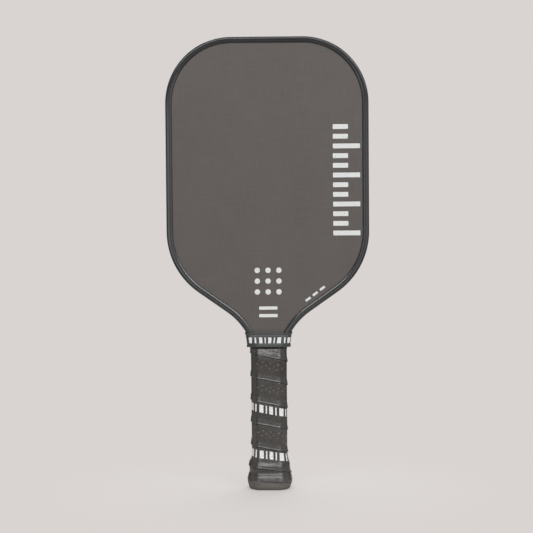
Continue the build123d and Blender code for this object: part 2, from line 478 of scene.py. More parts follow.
@dataclass(frozen=True)
class PrintInk:
    """Matt screen-print ink, a little worn. The scale of its flecks is in grains to the metre."""

    name: str
    fresh: Colour
    worn: Colour
    fleck_scale: float = 900.0
    fleck_range: Pair = (0.62, 0.75)

    def material(self) -> bpy.types.Material:
        """Ink whose tone thins in small flecks.

        Returns:
            The material.
        """
        recipe = Recipe(self.name, roughness=0.55, specular=0.3)
        flecks = recipe.speckle((self.fleck_scale,) * 3)
        return recipe.finish(recipe.blend(recipe.ramp(flecks, *self.fleck_range), self.fresh, self.worn))


class Finish(Enum):
    """The finishes of the paddle, each made once and shared."""

    CARBON = RawCarbon()
    GUARD = Moulding(
        "guard_plastic", display(45, 45, 46), display(52, 52, 53), roughness=0.13, relief_depth=0.005 * MM
    )
    COLLAR = Moulding("collar_rubber", display(56, 58, 57), display(64, 66, 65), roughness=0.45)
    CAP = Moulding("cap_plastic", display(92, 87, 83), display(104, 99, 94), roughness=0.7, specular=0.3)
    LEATHER = GripLeather()
    SHELL = Moulding("shell_plastic", display(60, 60, 60), display(72, 72, 72), roughness=0.6)
    HONEYCOMB = Moulding("core_plastic", display(205, 208, 204), display(222, 224, 220), roughness=0.55)
    STEEL = Moulding("staple_steel", display(150, 150, 150), display(175, 175, 175), roughness=0.3)
    TAPE = Moulding("tape_film", display(40, 40, 41), display(50, 50, 51), roughness=0.3)
    FACE_INK = PrintInk("face_ink", display(222, 222, 220), display(168, 166, 163))
    WHITE_INK = PrintInk("white_ink", display(228, 227, 226), display(170, 168, 166))


made_materials: dict[Finish, bpy.types.Material] = {}


def dress(piece: bpy.types.Object, finish: Finish) -> None:
    """Give a piece a finish, in place of whatever it has.

    Args:
        piece: The piece.
        finish: Its finish, whose material is made when it is first needed.
    """
    if finish not in made_materials:
        made_materials[finish] = finish.value.material()
    piece.data.materials.clear()
    piece.data.materials.append(made_materials[finish])
    log.info("%s: %s, %d faces", piece.name, finish.name.lower(), len(piece.data.polygons))


# ---------------------------------------------------------------------------------------- modelling help
class Side(Enum):
    """Which way a surface is thickened."""

    INWARDS = -1.0
    OUTWARDS = 1.0


def only(piece: bpy.types.Object) -> None:
    """Select one object alone and make it active.

    Args:
        piece: The object.
    """
    bpy.ops.object.select_all(action="DESELECT")
    piece.select_set(True)
    bpy.context.view_layer.objects.active = piece


def added(name: str) -> bpy.types.Object:
    """Name the object that an operator has just added.

    Args:
        name: Its new name.

    Returns:
        The object.
    """
    piece = bpy.context.active_object
    piece.name = name
    piece.data.name = name
    return piece


@contextmanager
def editing(piece: bpy.types.Object, everything: bool = True) -> Iterator[None]:
    """Hold a piece in edit mode for the length of a with block.

    Args:
        piece: The piece to edit.
        everything: Whether all of it is selected first, rather than what already is.

    Yields:
        Nothing, once edit mode is on.
    """
    only(piece)
    bpy.ops.object.mode_set(mode="EDIT")
    if everything:
        bpy.ops.mesh.select_all(action="SELECT")
    yield
    bpy.ops.object.mode_set(mode="OBJECT")


def clean(piece: bpy.types.Object, distance: float = MERGE) -> None:
    """Merge doubled points and turn every face outwards.

    Args:
        piece: The piece to clean.
        distance: Distance within which points are merged.
    """
    with editing(piece):
        bpy.ops.mesh.remove_doubles(threshold=distance)
        bpy.ops.mesh.normals_make_consistent(inside=False)


def soften(piece: bpy.types.Object, angle: float) -> None:
    """Shade a piece smooth, apart from edges sharper than an angle in degrees."""
    only(piece)
    bpy.ops.object.shade_smooth_by_angle(angle=math.radians(angle))


def solidify(piece: bpy.types.Object, thickness: float, side: Side) -> None:
    """Give a surface a wall.

    Args:
        piece: The surface.
        thickness: Thickness of the wall.
        side: The side on which the wall lies.
    """
    only(piece)
    modifier = piece.modifiers.new("wall", "SOLIDIFY")
    modifier.thickness = thickness
    modifier.offset = side.value
    modifier.use_even_offset = False
    bpy.ops.object.modifier_apply(modifier=modifier.name)


def make_shell(piece: bpy.types.Object, wall: float, angle: float) -> None:
    """Close a formed surface where its edges meet, give it an inner wall and shade it smooth.

    Args:
        piece: The surface, which is the outside of the shell.
        wall: Thickness of the wall.
        angle: Angle of the sharpest edge that is shaded smooth.
    """
    clean(piece)
    solidify(piece, wall, Side.INWARDS)
    clean(piece)
    soften(piece, angle)


def formed_grid(
    name: str, columns: int, rows: int, place: Place, chart: Chart | None = None
) -> bpy.types.Object:
    """Grid whose points are formed over a surface.

    Args:
        name: Name of the new piece.
        columns: Faces along the surface's first direction.
        rows: Faces along its second direction.
        place: Point of the surface for a share of each direction, from 0 to 1.
        chart: UV coordinates for the same shares, where they aren't the shares themselves.

    Returns:
        The new piece.
    """
    bpy.ops.object.select_all(action="DESELECT")
    bpy.ops.mesh.primitive_grid_add(x_subdivisions=columns, y_subdivisions=rows, size=1.0)
    piece = added(name)
    for point in piece.data.vertices:
        point.co = place(held(point.co.x + 0.5), held(point.co.y + 0.5))
    if chart is not None:
        for loop in piece.data.uv_layers.active.data:
            loop.uv = chart(*loop.uv)
    piece.data.update()
    return piece


def join(pieces: Sequence[bpy.types.Object], name: str) -> bpy.types.Object:
    """Join several pieces into one.

    Args:
        pieces: The pieces.
        name: Name of the joined piece.

    Returns:
        The joined piece.
    """
    only(pieces[0])
    for piece in pieces:
        piece.select_set(True)
    bpy.ops.object.join()
    return added(name)


def keep(piece: bpy.types.Object, slot: str, finish: Finish, *nodes: str) -> None:
    """Dress a finished piece, let it ride on the paddle, and hide the solids that it stands for.

    Args:
        piece: The finished piece.
        slot: Material slot of the record. Not used.
        finish: Finish of its surface.
        *nodes: Nodes of the construction model that it replaces.
    """
    dress(piece, finish)
    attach(piece, BODY)
    if nodes:
        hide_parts(*nodes)


# ---------------------------------------------------------------------------------------- blade
@dataclass
class Blade:
    """Edge guard, carbon faces and core.

    The guard's U-section is drawn at the middle of the tip, taken round one side of the blade and mirrored.
    """

    # The guard's course round the blade, and the steps of its three corners.
    tip_radius: float = 61.0 * MM
    shoulder_height: float = 240.1 * MM
    shoulder_radius: float = 69.0 * MM
    flare_angle: float = 54.9
    throat_radius: float = 62.3 * MM
    neck_width: float = 24.2 * MM
    tip_steps: int = 40
    shoulder_steps: int = 36
    throat_steps: int = 20

    # Its section.
    lip_reach: float = 6.0 * MM
    bend_radius: float = 1.9 * MM
    bend_steps: int = 8
    # Inner bevel of a lip, as (depth below the outside, how far it has fallen away) in millimetres.
    lip_falls: tuple[Pair, ...] = (
        (3.6, 0.0), (4.1, 0.04), (4.5, 0.16), (4.9, 0.32), (5.3, 0.49), (5.7, 0.7), (6.0, 1.0),
    )
    middle_reach: float = 0.01 * MM
    smooth_angle: float = 50.0

    def __post_init__(self) -> None:
        """Read the blade's main sizes from the frame."""
        guard_low, guard_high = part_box("edge_guard")
        face_low, face_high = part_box("front_face_sheet")
        self.tip = guard_high.z
        self.half_width = guard_high.x
        self.half_thickness = guard_high.y
        self.guard_foot = guard_low.z
        self.face = -face_low.y
        self.wall = guard_high.x - face_high.x

    def build(self) -> None:
        """Make the guard, and dress the faces and the core."""
        self.guard()
        for node in ("front_face_sheet", "back_face_sheet"):
            dress(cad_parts[node], Finish.CARBON)
        dress(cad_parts["honeycomb_core"], Finish.HONEYCOMB)

    def half_section(self) -> list[Pair]:
        """Half of the guard's U-section, from the outside of its bend to the inside of its lip.

        Returns:
            Points as (depth below the outside, distance from the blade's middle plane).
        """
        points = []
        bend_side = self.half_thickness - self.bend_radius
        for step in range(self.bend_steps + 1):
            turn = math.pi / 2 * step / self.bend_steps
            depth = self.bend_radius - self.bend_radius * math.cos(turn)
            points.append((depth, bend_side + self.bend_radius * math.sin(turn)))
        points += [(depth * MM, self.half_thickness - fall * MM) for depth, fall in self.lip_falls]
        points += [(self.lip_reach, self.face), (self.wall, self.face)]
        return points

    def section(self) -> bpy.types.Object:
        """Whole U-section, as one flat face at the middle of the tip.

        Returns:
            The piece that becomes the strip.
        """
        half = self.half_section()
        outline = half + [(depth, -side) for depth, side in reversed(half)]
        bpy.ops.object.select_all(action="DESELECT")
        bpy.ops.mesh.primitive_circle_add(vertices=len(outline), radius=1.0, fill_type="NGON")
        strip = added("edge_guard_strip")
        for point, (depth, side) in zip(strip.data.vertices, outline):
            point.co = Vector((0.0, side, self.tip - depth))
        return strip

    def guard(self) -> None:
        """Draw the section out along the straights and turn it round the corners."""
        strip = self.section()
        tip_side = self.half_width - self.tip_radius
        tip_height = self.tip - self.tip_radius
        shoulder_side = self.half_width - self.shoulder_radius
        throat_side = self.neck_width / 2 + self.throat_radius
        flare = math.radians(self.flare_angle)
        reach = self.shoulder_radius + self.throat_radius
        straight = (shoulder_side + reach * math.cos(flare) - throat_side) / math.sin(flare)
        fall = straight * math.cos(flare)
        throat_height = self.shoulder_height - reach * math.sin(flare) - fall
        throat_turn = flare - math.asin((self.guard_foot - throat_height) / self.throat_radius)
        with editing(strip):
            self.draw_out(tip_side, 0.0)
            self.turn_round(tip_side, tip_height, math.pi / 2, self.tip_steps)
            self.draw_out(0.0, self.shoulder_height - tip_height)
            self.turn_round(shoulder_side, self.shoulder_height, flare, self.shoulder_steps)
            self.draw_out(-straight * math.sin(flare), -fall)
            self.turn_round(throat_side, throat_height, -throat_turn, self.throat_steps)
        self.mirror(strip)
        clean(strip)
        soften(strip, self.smooth_angle)
        keep(strip, "guard_plastic", Finish.GUARD, "edge_guard")

    @staticmethod
    def draw_out(across: float, up: float) -> None:
        """Extrude the selected section in a straight line."""
        bpy.ops.mesh.extrude_region_move(TRANSFORM_OT_translate={"value": (across, 0.0, up)})

    @staticmethod
    def turn_round(across: float, up: float, angle: float, steps: int) -> None:
        """Spin the selected section about a level axis at a place, clockwise as seen from the front."""
        bpy.ops.mesh.spin(steps=steps, angle=-angle, center=(across, 0.0, up), axis=(0.0, 1.0, 0.0))

    def mirror(self, strip: bpy.types.Object) -> None:
        """Open the section at the middle of the tip and mirror the strip to the other side.

        Args:
            strip: The strip of one side.
        """
        with editing(strip):
            bpy.ops.mesh.select_all(action="DESELECT")
        for point in strip.data.vertices:
            point.select = abs(point.co.x) < self.middle_reach
        with editing(strip, everything=False):
            bpy.ops.mesh.delete(type="ONLY_FACE")
        modifier = strip.modifiers.new("other_side", "MIRROR")
        modifier.use_clip = True
        modifier.merge_threshold = self.middle_reach
        bpy.ops.object.modifier_apply(modifier=modifier.name)


@dataclass
class FacePrints:
    """Plain marks on the front face: a graduated scale, a field of dots, two bars and three dashes."""

    lift: float = 0.03 * MM
    depth: float = 0.04 * MM
    corner: float = 0.6 * MM
    corner_steps: int = 6

    scale_left: float = 60.5 * MM
    scale_foot: float = 238.0 * MM
    scale_pitch: float = 8.9 * MM
    scale_marks: int = 12
    long_every: int = 3
    long_mark: float = 25.0 * MM
    short_mark: float = 14.0 * MM
    mark_height: float = 4.4 * MM

    dots_height: float = 194.0 * MM
    dot_pitch: float = 10.0 * MM
    dot_size: float = 5.0 * MM
    dot_corner: float = 2.4 * MM

    bar_heights: Pair = (162.0 * MM, 169.0 * MM)
    bar_size: Pair = (17.0 * MM, 3.0 * MM)

    dashes_middle: Pair = (43.5 * MM, 182.0 * MM)
    dash_pitch: Pair = (6.6 * MM, 5.0 * MM)
    dash_size: Pair = (5.6 * MM, 2.2 * MM)
    dash_turn: float = 37.0

    def __post_init__(self) -> None:
        """Read the place of the front face from the frame."""
        self.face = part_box("front_face_sheet")[0].y

    def build(self) -> None:
        """Print the four sets of marks."""
        for name, marks in (
            ("face_scale_print", self.scale()),
            ("face_dot_print", self.dots()),
            ("face_bar_print", self.bars()),
            ("face_dash_print", self.dashes()),
        ):
            keep(join(marks, name), "carbon_face", Finish.FACE_INK)

    def mark(
        self, width: float, height: float, corner: float | None = None, turn: float = 0.0
    ) -> bpy.types.Object:
        """Thin mark with rounded corners, on the plane of the front face.

        Args:
            width: Width of the mark.
            height: Height of the mark.
            corner: Radius of its corners, where it isn't the usual one.
            turn: Turn to the left, in degrees.

        Returns:
            The mark, centred across the face at a height of 0.
        """
        bpy.ops.object.select_all(action="DESELECT")
        bpy.ops.mesh.primitive_plane_add(size=1.0)
        made = added("mark")
        for point in made.data.vertices:
            point.co = Vector((point.co.x * width, -point.co.z, point.co.y * height))
        made.data.transform(Matrix.Rotation(-math.radians(turn), 4, "Y"))
        made.data.transform(Matrix.Translation((0.0, self.face - self.lift, 0.0)))
        with editing(made):
            bpy.ops.mesh.bevel(affect="VERTICES", offset=corner or self.corner, segments=self.corner_steps)
            bpy.ops.mesh.select_all(action="SELECT")
            bpy.ops.mesh.extrude_region_move(TRANSFORM_OT_translate={"value": (0.0, -self.depth, 0.0)})
        clean(made, PRINT_MERGE)
        return made

    @staticmethod
    def copies(mark: bpy.types.Object, places: Sequence[Pair]) -> list[bpy.types.Object]:
        """Copy a mark to each of its places, the last of which the mark itself takes.

        Args:
            mark: The mark, made at a height of 0.
            places: Places across and up the face.

        Returns:
            The marks, each with its own mesh.
        """
        marks = []
        for _ in places[1:]:
            only(mark)
            bpy.ops.object.duplicate()
            marks.append(added("mark"))
        marks.append(mark)
        for piece, (across, up) in zip(marks, places):
            piece.data.transform(Matrix.Translation((across, 0.0, up)))
        return marks

    def scale(self) -> list[bpy.types.Object]:
        """Graduated scale up the right side, flush at its left, with long marks among short ones.

        Returns:
            The marks.
        """
        steps = range(self.scale_marks)
        marks = []
        for width, chosen in (
            (self.long_mark, [step for step in steps if step % self.long_every == 0]),
            (self.short_mark, [step for step in steps if step % self.long_every != 0]),
        ):
            side = self.scale_left + width / 2
            places = [(side, self.scale_foot + self.scale_pitch * step) for step in chosen]
            marks += self.copies(self.mark(width, self.mark_height), places)
        return marks

    def dots(self) -> list[bpy.types.Object]:
        """Square field of nine dots.

        Returns:
            The dots.
        """
        steps = (-self.dot_pitch, 0.0, self.dot_pitch)
        places = [(across, self.dots_height + up) for across in steps for up in steps]
        return self.copies(self.mark(self.dot_size, self.dot_size, self.dot_corner), places)

    def bars(self) -> list[bpy.types.Object]:
        """Two level bars, one above the other."""
        return self.copies(self.mark(*self.bar_size), [(0.0, height) for height in self.bar_heights])

    def dashes(self) -> list[bpy.types.Object]:
        """Three dashes that climb beside the right throat.

        Returns:
            The dashes.
        """
        (side, height), (across, up) = self.dashes_middle, self.dash_pitch
        places = [(side + across * step, height + up * step) for step in (-1, 0, 1)]
        return self.copies(self.mark(*self.dash_size, turn=self.dash_turn), places)


# ---------------------------------------------------------------------------------------- handle
@dataclass(frozen=True)
class Run:
    """Straight or rounded stretch of a section. A straight one has a radius of 0."""

    length: float
    start: Vector
    heading: float
    radius: float = 0.0

    def at(self, travelled: float) -> tuple[Vector, Vector]:
        """Place on the stretch.

        Args:
            travelled: Distance from its start.

        Returns:
            The point and its outward normal.
        """
        way = Vector((math.cos(self.heading), math.sin(self.heading)))
        outward = Vector((-way.y, way.x))
        if self.radius == 0.0:
            return self.start + way * travelled, outward
        centre = self.start - outward * self.radius
        turn = travelled / self.radius
        across = outward.x * math.cos(turn) + outward.y * math.sin(turn)
        back = outward.y * math.cos(turn) - outward.x * math.sin(turn)
        outward = Vector((across, back))
        return centre + outward * self.radius, outward


@dataclass
class Section:
    """Eight-sided section with rounded corners, run from the middle of the front towards -X and round."""

    half_width: float
    half_depth: float
    bevel: float
    corner: float

    def __post_init__(self) -> None:
        """Lay out the sides and corners, with half of the front side at each end."""
        trim = self.corner * math.tan(math.pi / 8)
        slope = self.bevel * math.sqrt(2)
        sides = [2 * (self.half_width - self.bevel), slope, 2 * (self.half_depth - self.bevel), slope] * 2
        self.runs = []
        place = Vector((0.0, -self.half_depth))
        heading = math.pi
        for index, side in enumerate(sides + [sides[0]]):
            length = side / 2 - trim if index in (0, len(sides)) else side - 2 * trim
            self.runs.append(Run(length, place, heading))
            if index < len(sides):
                place = self.runs[-1].at(length)[0]
                bend = Run(self.corner * math.pi / 4, place, heading, self.corner)
                self.runs.append(bend)
                place = bend.at(bend.length)[0]
                heading -= math.pi / 4
        self.girth = sum(run.length for run in self.runs)

    def along(self, share: float) -> tuple[Vector, Vector]:
        """Place on the section.

        Args:
            share: Share of the way round.

        Returns:
            The point and its outward normal.
        """
        left = (share % 1.0) * self.girth
        index = 0
        while left > self.runs[index].length and index < len(self.runs) - 1:
            left -= self.runs[index].length
            index += 1
        return self.runs[index].at(left)


@dataclass
class HandleForm:
    """The handle's section and how it grows at the butt."""

    bevel: float = 4.6 * MM
    corner: float = 5.5 * MM
    butt_flare: float = 4.05 * MM
    flare_start: float = 6.0 * MM
    flare_end: float = 36.0 * MM
    rim_lean: float = -0.085

    def __post_init__(self) -> None:
        """Read the section's size from the frame."""
        low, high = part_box("handle_shell_front")
        self.section = Section(high.x, -low.y, self.bevel, self.corner)

    def rim_slant(self, side: float) -> float:
        """Rise of the line between wrap and cap rim at a place across the handle."""
        return self.rim_lean * side

    def growth(self, height: float) -> float:
        """How far the cap's skirt stands outside the section at a height."""
        climb = (height - self.flare_start) / (self.flare_end - self.flare_start)
        return self.butt_flare * (1 - smooth_step(climb))

    def surface(self, share: float, height: float, offset: float) -> Vector:
        """Point outside the shells and the cap's skirt.

        Args:
            share: Share of the way round the handle.
            height: Height of the point.
            offset: Distance outside the surface.

        Returns:
            The point.
        """
        place, outward = self.section.along(share)
        spot = place + outward * (self.growth(height) + offset)
        return Vector((spot.x, spot.y, height))


@dataclass(frozen=True)
class BarRow:
    """Row of plain white bars printed round the handle, wide and narrow by turns.

    Places and widths are shares of a turn.
    """

    start: float
    wide: float
    narrow: float
    gap: float
    rows: int
    columns: int = 8
    bars: int = 9
    thickness: float = 0.03 * MM

    def build(self, name: str, slot: str, spot: Place) -> None:
        """Print the row.

        Args:
            name: Name of the printed piece.
            slot: Material slot of the record.
            spot: Point of the printed surface for a place round the handle and a share of the row's height.
        """
        marks = []
        start = self.start
        for index in range(self.bars):
            width = self.wide if index % 2 == 0 else self.narrow
            marks.append(formed_grid("bar", self.columns, self.rows, self.bar(start, width, spot)))
            start -= width + self.gap
        row = join(marks, name)
        solidify(row, self.thickness, Side.OUTWARDS)
        clean(row, PRINT_MERGE)
        keep(row, slot, Finish.WHITE_INK)

    @staticmethod
    def bar(start: float, width: float, spot: Place) -> Place:
        """Surface of one bar.

        Args:
            start: Place of its first edge.
            width: Its width.
            spot: Point of the printed surface, as in build.

        Returns:
            Point of the bar for a share of its width and of its height.
        """

        def point(along: float, up: float) -> Vector:
            """Point of the bar for a share of its width and of its height."""
            return spot(start - width * along, up)

        return point


@dataclass(frozen=True)
class FootFolds:
    """How the lowest turns of the strip swell and dip over the butt cap.

    A size that ends in front is added to the one all round, in full at the front and the back.
    """

    ceiling: float = 34.0 * MM
    shoulder_swell: float = 0.6 * MM
    shoulder_height: float = 23.0 * MM
    shoulder_spread: float = 3.0 * MM
    waist_dip: float = 0.45 * MM
    waist_dip_front: float = 0.45 * MM
    waist_height: float = 16.4 * MM
    waist_spread: float = 2.5 * MM
    hem_swell: float = 0.5 * MM
    hem_swell_front: float = 0.6 * MM
    hem_top: float = 15.0 * MM
    hem_fade: float = 6.4 * MM

    def stand(self, height: float, frontal: float) -> float:
        """How far the folds stand out.

        Args:
            height: Height up the handle.
            frontal: 1 at the front and the back, 0 at the sides.

        Returns:
            The distance in metres, less than 0 in a dip.
        """
        if height > self.ceiling:
            return 0.0
        swell = self.shoulder_swell * bell(height, self.shoulder_height, self.shoulder_spread)
        dip = self.waist_dip + self.waist_dip_front * frontal
        hem = self.hem_swell + self.hem_swell_front * frontal
        below = held((self.hem_top - height) / self.hem_fade)
        return swell - dip * bell(height, self.waist_height, self.waist_spread) + hem * below


@dataclass(frozen=True)
class TopPinch:
    """How the highest turns swell, and are pinched where the collar closes over them."""

    squeeze: float = 2.3 * MM
    squeeze_start: float = 123.0 * MM
    squeeze_span: float = 10.5 * MM
    squeeze_limit: float = 1.1
    swell: float = 1.4 * MM
    swell_start: float = 104.0 * MM
    swell_span: float = 18.0 * MM
    side_swell: float = 0.5 * MM
    side_start: float = 128.0 * MM
    side_span: float = 4.0 * MM

    def stand(self, height: float, frontal: float) -> float:
        """How far the strip stands out, over its usual thickness.

        Args:
            height: Height up the handle.
            frontal: 1 at the front and the back, 0 at the sides.

        Returns:
            The distance in metres, less than 0 where it is pinched.
        """
        pinched = held((height - self.squeeze_start) / self.squeeze_span, 0.0, self.squeeze_limit) ** 2
        swollen = smooth_step((height - self.swell_start) / self.swell_span)
        aside = smooth_step((height - self.side_start) / self.side_span)
        front = self.swell * swollen - self.squeeze * pinched
        return front * frontal + self.side_swell * aside * (1 - frontal)


@dataclass
class GripStrip:
    """One strip of leather wound up the handle, each turn lapped over the one below.

    Heights of seams are those at the middle of the front, where a whole turn starts.
    """

    form: HandleForm
    leather: GripLeather = Finish.LEATHER.value
    folds: FootFolds = FootFolds()
    pinch: TopPinch = TopPinch()
    seams: tuple[float, ...] = (19.3 * MM, 38.1 * MM, 59.7 * MM, 80.1 * MM, 101.9 * MM, 123.7 * MM)
    pitch: float = 20.9 * MM
    width: float = 25.4 * MM
    least_width: float = 0.2 * MM
    wall: float = 0.85 * MM
    # How much a seam levels out at the front, from 0 for an even climb, on most turns and at the butt.
    front_ease: float = 0.15
    butt_ease: float = 0.5

    # How far the strip stands from the shells: at its edge, up its width, and tucked under the next turn.
    edge_stand: float = 2.3 * MM
    back_stand: float = 1.82 * MM
    tuck_stand: float = 1.1 * MM
    tuck_width: float = 1.5 * MM
    ramp_width: float = 4.6 * MM
    # The rolled edge, the ridge that it makes and the shallow groove above it.
    edge_roll: float = 0.4 * MM
    ridge: float = 0.44 * MM
    ridge_side: float = 0.6 * MM
    ridge_spread: float = 0.95 * MM
    groove: float = 0.06 * MM
    groove_side: float = 1.6 * MM
    groove_spread: float = 0.4 * MM
    # Unevenness of the leather, as (height, waves in a millimetre).
    waves: tuple[Pair, ...] = ((0.10 * MM, 0.22), (0.05 * MM, 0.7))

    columns_per_turn: int = 80
    rows: int = 56
    smooth_angle: float = 40.0

    # Bars on the printed turns, and how far above the strip's lower edge each row stands.
    bar_row: BarRow = BarRow(start=0.185, wide=0.037, narrow=0.0135, gap=0.0216, rows=10)
    bar_feet: Pair = (9.7 * MM, 11.4 * MM)
    bar_height: float = 7.2 * MM
    bar_lift: float = 0.04 * MM

    def __post_init__(self) -> None:
        """Read the ends of the wrap from the frame, and work out how long the strip is."""
        low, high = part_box("grip_wrap")
        self.foot = low.z
        self.top = high.z
        self.start_turn = self.leather.start_turn
        self.end_turn = len(self.seams) + (self.top - self.seams[-1]) / self.pitch
        self.turns = self.end_turn - self.start_turn

    def seam(self, turn: int) -> float:
        """Height of the strip's lower edge where a whole turn starts.

        Args:
            turn: The turn, 1 for the lowest that has a seam.

        Returns:
            The height in metres.
        """
        last = len(self.seams)
        if turn < 1:
            return self.seams[0] + self.pitch * (turn - 1)
        if turn > last:
            return self.seams[-1] + self.pitch * (turn - last)
        return self.seams[turn - 1]

    def lower_edge(self, turn: float) -> float:
        """Height of the strip's lower edge.

        Args:
            turn: Place along the strip, in turns.

        Returns:
            The height in metres.
        """
        whole = math.floor(turn)
        share = turn - whole
        ease = between(self.butt_ease, self.front_ease, smooth_step(abs(turn - 1.0) * 2))
        return between(self.seam(whole), self.seam(whole + 1), between(share, smooth_step(share), ease))

    def lap_stand(self, turn: float, from_edge: float) -> float:
        """How far the strip stands out, from its ridged lower edge to the part that is tucked under.

        Args:
            turn: Place along the strip, in turns.
            from_edge: Distance above the strip's lower edge.

        Returns:
            The distance of its outside from the shells.
        """
        ramp = smooth_step((from_edge - self.groove_side) / self.ramp_width)
        spacing = self.lower_edge(turn + 1.0) - self.lower_edge(turn)
        tuck = smooth_step((from_edge - spacing) / self.tuck_width + 0.5)
        stand = between(between(self.edge_stand, self.back_stand, ramp), self.tuck_stand, tuck)
        if from_edge < self.edge_roll:
            stand -= self.edge_roll - math.sqrt(self.edge_roll**2 - (self.edge_roll - from_edge) ** 2)
        stand += self.ridge * bell(from_edge, self.ridge_side, self.ridge_spread)
        return stand - self.groove * bell(from_edge, self.groove_side, self.groove_spread)

    def outside(self, turn: float, from_edge: float, lift: float = 0.0) -> Vector:
        """Point of the strip's outside.

        Args:
            turn: Place along the strip, in turns.
            from_edge: Distance above the strip's lower edge.
            lift: Distance off the surface.

        Returns:
            The point.
        """
        share = turn % 1.0
        height = self.lower_edge(turn) + from_edge
        frontal = abs(self.form.section.along(share)[1].y)
        stand = self.lap_stand(turn, from_edge)
        stand += self.folds.stand(height, frontal) + self.pinch.stand(height, frontal)
        spot = self.form.surface(share, height, 0.0) / MM
        stand += sum(size * noise.noise(spot * scale) for size, scale in self.waves)
        return self.form.surface(share, height, stand + lift)

    def place(self, along: float, over: float) -> Vector:
        """Point of the strip's outside.

        Args:
            along: Share of its length.
            over: Share of its width, before the steps are bunched.

        Returns:
            The point, kept between the cap's rim and the top of the wrap.
        """
        turn = between(self.start_turn, self.end_turn, along)
        edge = self.lower_edge(turn)
        side = self.form.section.along(turn)[0].x
        low = max(edge, self.foot + self.form.rim_slant(side))
        high = max(min(edge + self.width, self.top), low + self.least_width)
        return self.outside(turn, between(low, high, bunch(over)) - edge)

    def chart(self, along: float, over: float) -> Pair:
        """Place on the flat strip, in metres, for the same shares."""
        return along * self.turns * self.leather.turn_length, bunch(over) * self.width

    def build(self) -> None:
        """Wind the strip, give it its wall, finish it and print two of its turns."""
        columns = int(self.turns * self.columns_per_turn)
        strip = formed_grid("grip_strip", columns, self.rows, self.place, self.chart)
        make_shell(strip, self.wall, self.smooth_angle)
        keep(strip, "grip_leather", Finish.LEATHER, "grip_wrap")
        for turn, foot in zip(self.leather.printed_turns, self.bar_feet):
            self.prints(turn, foot)

    def prints(self, turn: int, foot: float) -> None:
        """Print a row of bars across the front of one turn.

        Args:
            turn: The turn.
            foot: Distance of the bars above the strip's lower edge.
        """

        def spot(side: float, up: float) -> Vector:
            """Point of the printed surface for a share of a turn and a share of the row's height."""
            return self.outside(turn + side, foot + self.bar_height * up, self.bar_lift)

        self.bar_row.build(f"grip_print_{turn}", "grip_leather", spot)


@dataclass
class Collar:
    """Rubber collar from the wrap up to the blade, with a bead round each edge."""

    form: HandleForm
    wall: float = 1.0 * MM
    # Its foot over the wrap, which is thinner by a share at the front and the back, and sags at the sides.
    seat_stand: float = 3.3 * MM
    foot_wall: float = 1.95 * MM
    front_thinning: float = 0.3
    lift: float = 0.8 * MM
    sag: float = 0.9 * MM
    # Its mouth round the guard, and the share of its height where its depth starts to narrow.
    mouth_gap: float = 1.05 * MM
    mouth_bevel: float = 2.4 * MM
    mouth_corner: float = 5.0 * MM
    depth_start: float = 0.12
    bead: float = 0.5 * MM
    bead_width: float = 0.75 * MM
    waist: float = 0.18 * MM
    rows: int = 40
    columns: int = 144
    smooth_angle: float = 50.0

    # Its bars, and the shares of its height at which they start and end.
    bar_row: BarRow = BarRow(start=0.155, wide=0.027, narrow=0.0105, gap=0.0194, rows=6)
    bar_ends: Pair = (0.28, 0.68)
    bar_lift: float = 0.04 * MM

    def __post_init__(self) -> None:
        """Read the collar's ends from the frame, and lay out its mouth round the guard."""
        low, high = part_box("rubber_collar")
        self.low = low.z
        self.high = high.z
        half_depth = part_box("edge_guard")[1].y + self.mouth_gap
        self.mouth = Section(high.x - self.bead, half_depth, self.mouth_bevel, self.mouth_corner)

    def outside(self, share: float, up: float) -> Vector:
        """Point of the outside, without its beads.

        Args:
            share: Share of the way round.
            up: Share of the height.

        Returns:
            The point.
        """
        foot, outward = self.form.section.along(share)
        frontal = abs(outward.y)
        foot = foot + outward * (self.seat_stand + self.foot_wall * (1 - self.front_thinning * frontal))
        mouth = self.mouth.along(share)[0]
        height = between(self.low + self.lift - self.sag * (1 - frontal), self.high, up)
        climb = max(height - self.low, 0.0) / (self.high - self.low)
        depth_climb = smooth_step((climb - self.depth_start) / (1 - self.depth_start))
        return Vector((between(foot.x, mouth.x, climb), between(foot.y, mouth.y, depth_climb), height))

    def surface(self, share: float, up: float, lift: float = 0.0) -> Vector:
        """Point of the outside, beads and rolled edges included.

        Args:
            share: Share of the way round.
            up: Share of the height.
            lift: Distance off the surface.

        Returns:
            The point.
        """
        from_end = min(up, 1 - up) * (self.high - self.low)
        round_bead = max(0.0, 1 - ((from_end - self.bead_width) / self.bead_width) ** 2)
        stand = self.bead * math.sqrt(round_bead) - self.waist * math.sin(math.pi * up)
        outward = self.form.section.along(share)[1]
        return self.outside(share, up) + Vector((outward.x, outward.y, 0.0)) * (stand + lift)

    def place(self, around: float, over: float) -> Vector:
        """Point of the outside for a share of the way round and a share of the height before bunching."""
        return self.surface(around, bunch(over))

    def build(self) -> None:
        """Form the band, close it round, give it its wall and print it."""
        band = formed_grid("collar_band", self.columns, self.rows, self.place)
        make_shell(band, self.wall, self.smooth_angle)
        keep(band, "collar_rubber", Finish.COLLAR, "rubber_collar")
        self.bar_row.build("collar_print", "collar_rubber", self.bar_spot)

    def bar_spot(self, share: float, up: float) -> Vector:
        """Point of the printed surface for a share of a turn and a share of the row's height."""
        return self.surface(share, between(*self.bar_ends, up), self.bar_lift)


